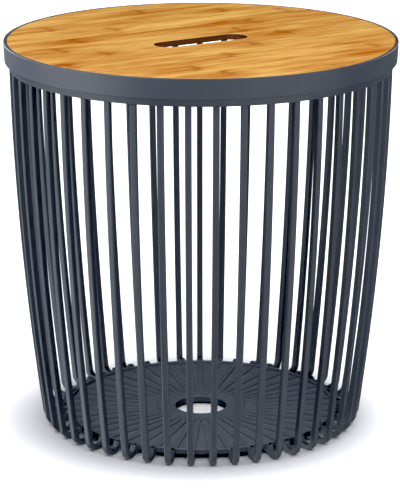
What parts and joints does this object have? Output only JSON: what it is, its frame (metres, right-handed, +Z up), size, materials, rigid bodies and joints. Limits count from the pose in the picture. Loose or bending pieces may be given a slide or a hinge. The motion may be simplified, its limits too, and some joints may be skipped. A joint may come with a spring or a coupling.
{
  "type": "storage basket side table",
  "caption": "Round openwork storage basket with bowed upright bars and a lift-off bamboo lid board with a finger slot, used as a side table.",
  "frame": {"origin": "on the floor, at the centre of the basket's axis", "axes": "+Z up along the basket's axis, -Y towards the front of the picture, +X to the right of the picture"},
  "size_m": [0.3899, 0.3898, 0.391],
  "materials": {
    "slate_plastic": "matte, fine moulded texture",
    "bamboo": "oiled laminated bamboo strips"
  },
  "bodies": {
    "basket": {"rim_band": "slate_plastic", "upper_ring": "slate_plastic", "base_dish": "slate_plastic", "bar_01": "slate_plastic", "bar_02": "slate_plastic", "bar_03": "slate_plastic", "bar_04": "slate_plastic", "bar_05": "slate_plastic", "bar_06": "slate_plastic", "bar_07": "slate_plastic", "bar_08": "slate_plastic", "bar_09": "slate_plastic", "bar_10": "slate_plastic", "bar_11": "slate_plastic", "bar_12": "slate_plastic", "bar_13": "slate_plastic", "bar_14": "slate_plastic", "bar_15": "slate_plastic", "bar_16": "slate_plastic", "bar_17": "slate_plastic", "bar_18": "slate_plastic", "bar_19": "slate_plastic", "bar_20": "slate_plastic", "bar_21": "slate_plastic", "bar_22": "slate_plastic", "bar_23": "slate_plastic", "bar_24": "slate_plastic", "bar_25": "slate_plastic", "bar_26": "slate_plastic", "bar_27": "slate_plastic", "bar_28": "slate_plastic", "bar_29": "slate_plastic", "bar_30": "slate_plastic", "bar_31": "slate_plastic", "bar_32": "slate_plastic", "bar_33": "slate_plastic", "bar_34": "slate_plastic", "bar_35": "slate_plastic", "bar_36": "slate_plastic", "bar_37": "slate_plastic", "bar_38": "slate_plastic", "bar_39": "slate_plastic", "bar_40": "slate_plastic", "bar_41": "slate_plastic", "bar_42": "slate_plastic", "bar_43": "slate_plastic", "bar_44": "slate_plastic", "bar_45": "slate_plastic"},
    "lid": {"lid_board": "bamboo"}
  },
  "joints": [
    {"name": "lid_lift", "type": "slide", "parent": "basket", "child": "lid", "axis": [0, 0, 1], "range_m": [0, 0.25]}
  ]
}
